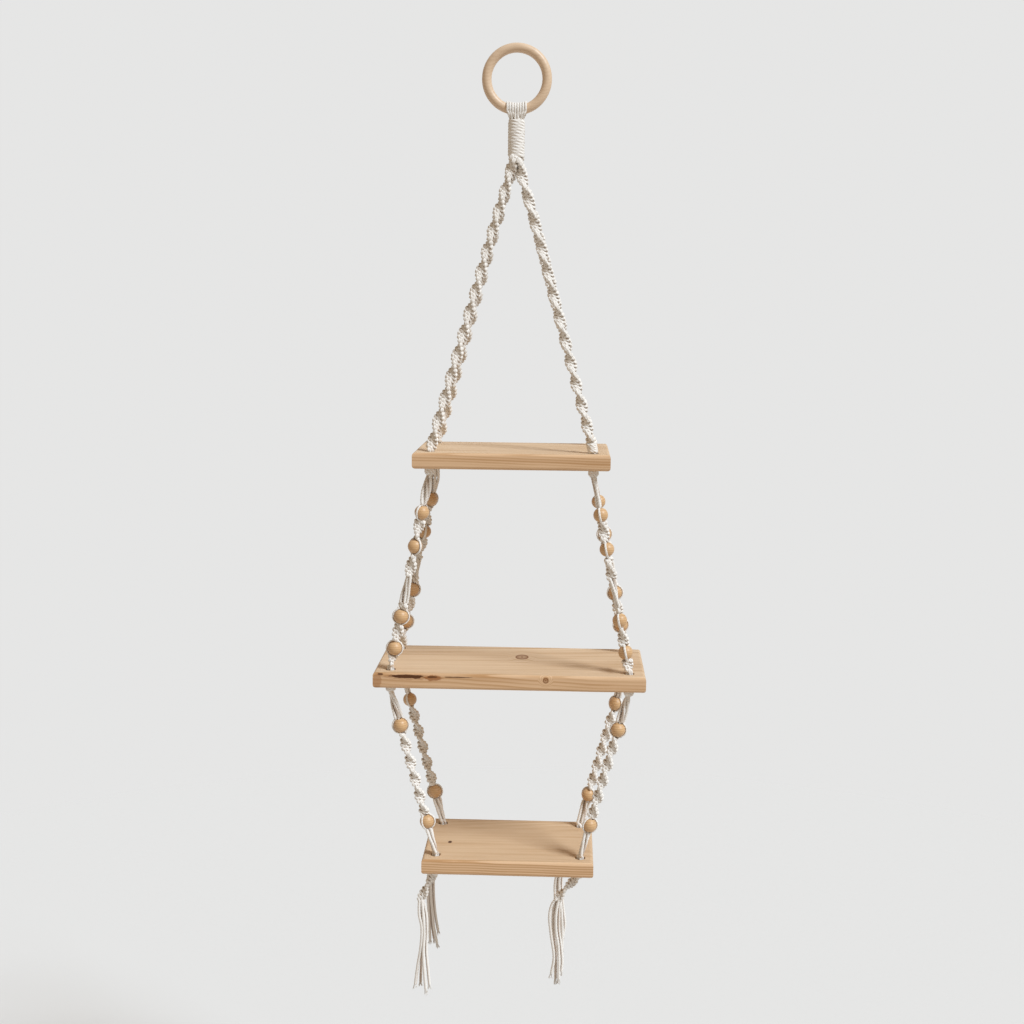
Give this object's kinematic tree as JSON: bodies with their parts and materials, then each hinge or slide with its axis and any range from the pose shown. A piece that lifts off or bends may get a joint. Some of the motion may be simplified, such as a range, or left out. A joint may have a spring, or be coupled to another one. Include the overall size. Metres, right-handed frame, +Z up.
{
  "type": "hanging rope shelf",
  "caption": "Tiered hanging shelf: pine boards on knotted cotton ropes with wooden beads, gathered under a wooden ring.",
  "frame": {"origin": "inside top of the hanging ring, where it bears on its peg or hook", "axes": "+Z up, +X to the viewer's right along the boards, -Y towards the viewer"},
  "size_m": [0.318, 0.14, 1.126],
  "materials": {
    "ring_wood": "satin",
    "pine": "satin",
    "bead_wood": "satin",
    "cotton": "matte"
  },
  "bodies": {
    "ring": {"hanging_ring": "ring_wood"},
    "neck": {"cord_loops": "cotton", "gathering_wrap": "cotton"},
    "top_tier": {"upper_rope_front_left": "cotton", "upper_rope_front_right": "cotton", "upper_rope_back_left": "cotton", "upper_rope_back_right": "cotton", "top_shelf": "pine"},
    "middle_front_ropes": {"middle_rope_front_left": "cotton", "middle_rope_front_right": "cotton", "middle_bead_front_left_1": "bead_wood", "middle_bead_front_left_2": "bead_wood", "middle_bead_front_left_3": "bead_wood", "middle_bead_front_left_4": "bead_wood", "middle_bead_front_right_1": "bead_wood", "middle_bead_front_right_2": "bead_wood", "middle_bead_front_right_3": "bead_wood", "middle_bead_front_right_4": "bead_wood"},
    "middle_back_ropes": {"middle_rope_back_left": "cotton", "middle_rope_back_right": "cotton", "middle_bead_back_left_1": "bead_wood", "middle_bead_back_left_2": "bead_wood", "middle_bead_back_left_3": "bead_wood", "middle_bead_back_left_4": "bead_wood", "middle_bead_back_right_1": "bead_wood", "middle_bead_back_right_2": "bead_wood", "middle_bead_back_right_3": "bead_wood", "middle_bead_back_right_4": "bead_wood"},
    "middle_tier": {"middle_shelf": "pine", "middle_knot_front_left": "cotton", "middle_knot_front_right": "cotton", "middle_knot_back_left": "cotton", "middle_knot_back_right": "cotton"},
    "lower_front_ropes": {"lower_rope_front_left": "cotton", "lower_rope_front_right": "cotton", "lower_bead_front_left_1": "bead_wood", "lower_bead_front_left_2": "bead_wood", "lower_bead_front_right_1": "bead_wood", "lower_bead_front_right_2": "bead_wood"},
    "lower_back_ropes": {"lower_rope_back_left": "cotton", "lower_rope_back_right": "cotton", "lower_bead_back_left_1": "bead_wood", "lower_bead_back_left_2": "bead_wood", "lower_bead_back_right_1": "bead_wood", "lower_bead_back_right_2": "bead_wood"},
    "bottom_tier": {"bottom_shelf": "pine", "end_sinnet_front_left": "cotton", "end_sinnet_front_right": "cotton", "end_sinnet_back_left": "cotton", "end_sinnet_back_right": "cotton", "tail_front_left": "cotton", "tail_front_right": "cotton", "tail_back_left": "cotton", "tail_back_right": "cotton"}
  },
  "joints": [
    {"name": "fore_aft_swing", "type": "hinge", "parent": "ring", "child": "neck", "pos_m": [0, 0, -0.0629], "axis": [1, 0, 0], "range_deg": [-25, 25]},
    {"name": "side_sway", "type": "hinge", "parent": "neck", "child": "top_tier", "pos_m": [0, 0, -0.1196], "axis": [0, 1, 0], "range_deg": [-15, 15]},
    {"name": "middle_tier_swing", "type": "hinge", "parent": "top_tier", "child": "middle_front_ropes", "pos_m": [0, -0.052, -0.4756], "axis": [1, 0, 0], "range_deg": [-25, 25]},
    {"name": "middle_back_swing", "type": "hinge", "parent": "top_tier", "child": "middle_back_ropes", "pos_m": [0, 0.052, -0.4756], "axis": [1, 0, 0], "range_deg": [-25, 25]},
    {"name": "middle_tier_level", "type": "hinge", "parent": "middle_front_ropes", "child": "middle_tier", "pos_m": [0, -0.052, -0.7075], "axis": [1, 0, 0], "range_deg": [-25, 25]},
    {"name": "lower_tier_swing", "type": "hinge", "parent": "middle_tier", "child": "lower_front_ropes", "pos_m": [0, -0.052, -0.7336], "axis": [1, 0, 0], "range_deg": [-25, 25]},
    {"name": "lower_back_swing", "type": "hinge", "parent": "middle_tier", "child": "lower_back_ropes", "pos_m": [0, 0.052, -0.7336], "axis": [1, 0, 0], "range_deg": [-25, 25]},
    {"name": "bottom_tier_level", "type": "hinge", "parent": "lower_front_ropes", "child": "bottom_tier", "pos_m": [0, -0.052, -0.9345], "axis": [1, 0, 0], "range_deg": [-25, 25]}
  ],
  "couplings": [
    {"joint": "middle_back_swing", "follows": "middle_tier_swing", "ratio": 1},
    {"joint": "middle_tier_level", "follows": "middle_tier_swing", "ratio": -1},
    {"joint": "lower_back_swing", "follows": "lower_tier_swing", "ratio": 1},
    {"joint": "bottom_tier_level", "follows": "lower_tier_swing", "ratio": -1}
  ]
}
